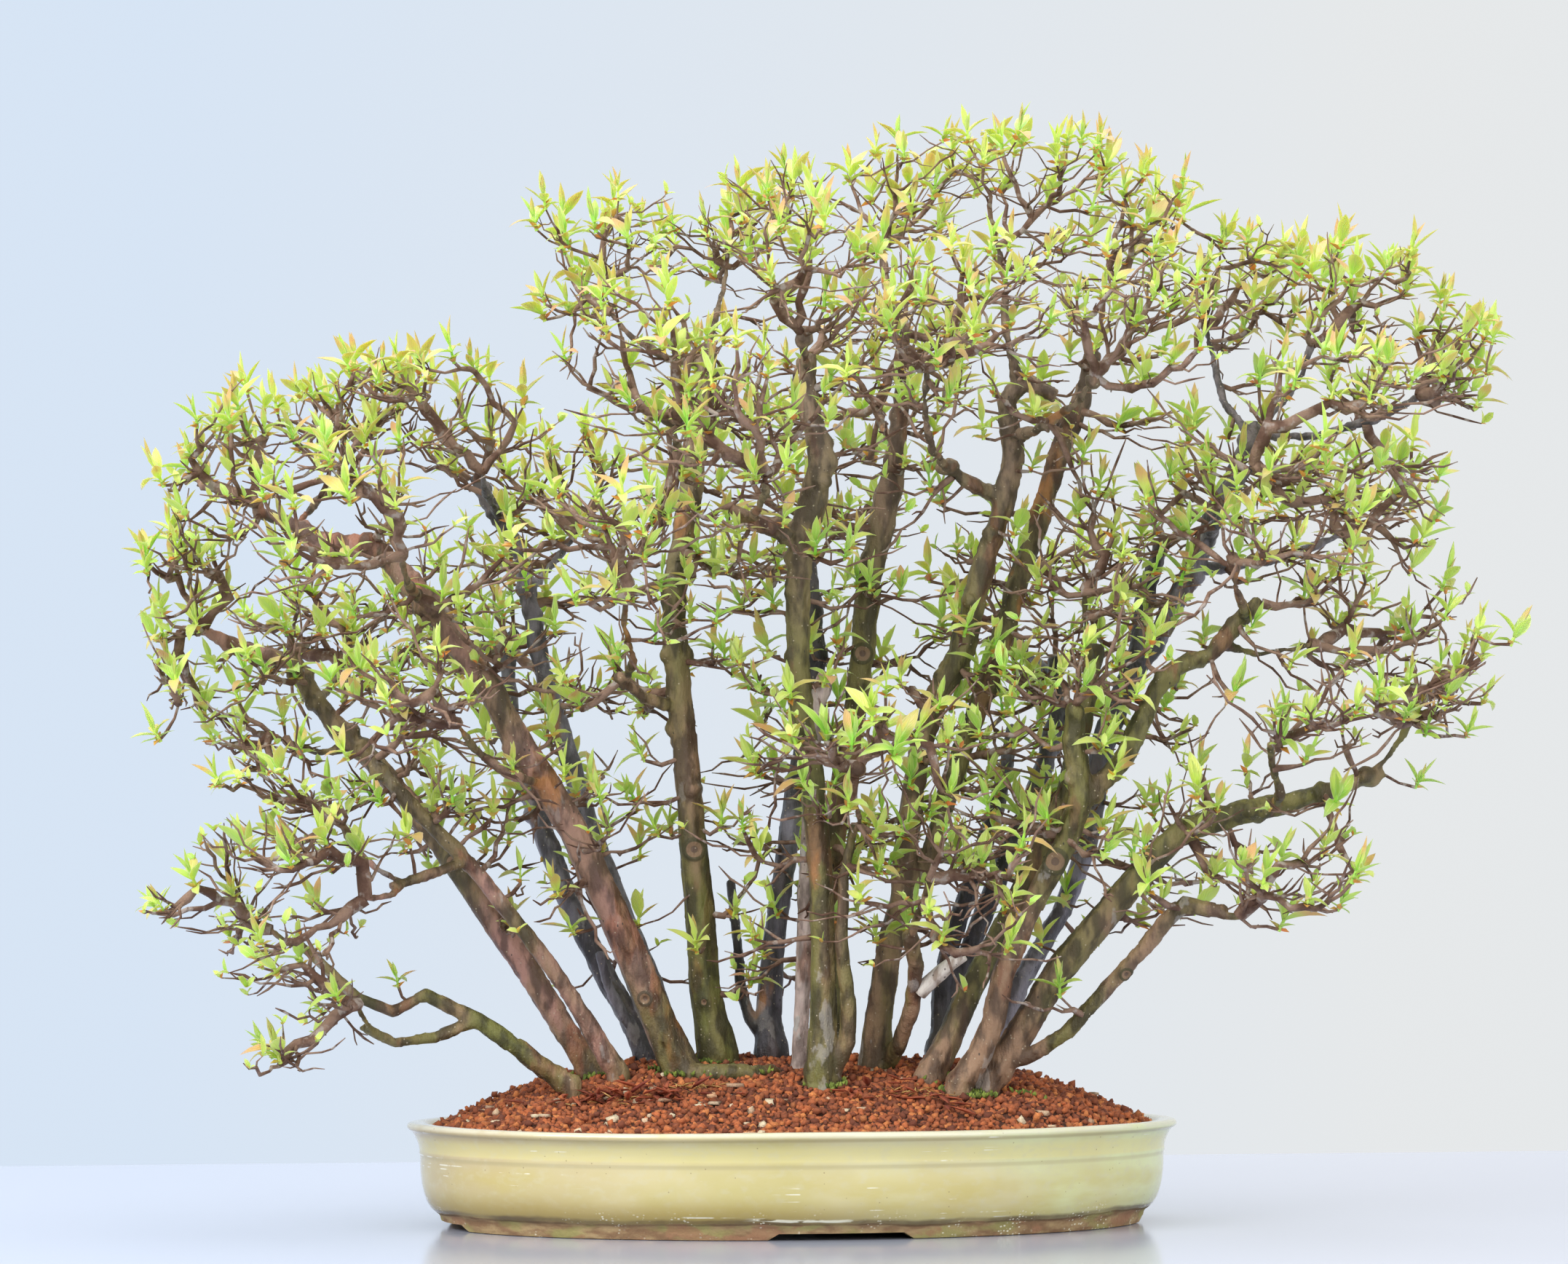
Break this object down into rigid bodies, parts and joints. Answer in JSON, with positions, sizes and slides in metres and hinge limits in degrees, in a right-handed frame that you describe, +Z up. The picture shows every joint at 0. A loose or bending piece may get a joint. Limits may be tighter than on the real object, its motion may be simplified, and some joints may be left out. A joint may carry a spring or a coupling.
{
  "type": "chinese quince bonsai in a pot",
  "caption": "Clump bonsai of a Chinese quince in spring leaf: slender trunks fan out from a soil mound in a shallow oval glazed pot on a low foot.",
  "frame": {"origin": "on the ground, under the middle of the whole tree and pot", "axes": "+X from left to right across the crown as seen from the front, -Y towards the viewer in front, +Z up"},
  "size_m": [0.98, 0.4812, 0.7727],
  "materials": {
    "glaze": "glossy pale yellow-green glaze over a bare brown foot",
    "soil": "loose red-brown clay grains with some pale ones",
    "bark": "thin bark that flakes in olive, grey and tan patches",
    "dark_bark": "damp charcoal-grey bark",
    "leaf": "young soft lime-green leaf with a bronze tip"
  },
  "bodies": {
    "root": {"pot": "glaze", "soil": "soil", "stem_01": "bark", "stem_02": "bark", "stem_03": "bark", "stem_04": "dark_bark", "stem_05": "bark", "stem_06": "dark_bark", "stem_07": "bark", "stem_08": "dark_bark", "stem_09": "bark", "stem_10": "bark", "stem_11": "bark", "stem_12": "bark", "stem_13": "dark_bark", "stem_14": "bark", "stem_15": "bark", "stem_16": "dark_bark", "stem_17": "bark", "spray_01": "leaf", "spray_02": "leaf", "spray_03": "leaf", "spray_04": "leaf", "spray_05": "leaf", "spray_06": "leaf", "spray_07": "leaf", "spray_08": "leaf", "spray_09": "leaf", "spray_10": "leaf", "spray_11": "leaf", "spray_12": "leaf", "spray_13": "leaf", "spray_14": "leaf", "spray_15": "leaf", "spray_16": "leaf", "spray_17": "leaf", "spray_18": "leaf", "spray_19": "leaf", "spray_20": "leaf", "spray_21": "leaf", "spray_22": "leaf", "spray_23": "leaf", "spray_24": "leaf", "spray_25": "leaf", "spray_26": "leaf", "spray_27": "leaf", "spray_28": "leaf", "spray_29": "leaf", "spray_30": "leaf", "spray_31": "leaf", "spray_32": "leaf", "spray_33": "leaf", "spray_34": "leaf", "spray_35": "leaf", "spray_36": "leaf", "spray_37": "leaf", "spray_38": "leaf", "spray_39": "leaf", "spray_40": "leaf", "spray_41": "leaf"}
  },
  "joints": []
}
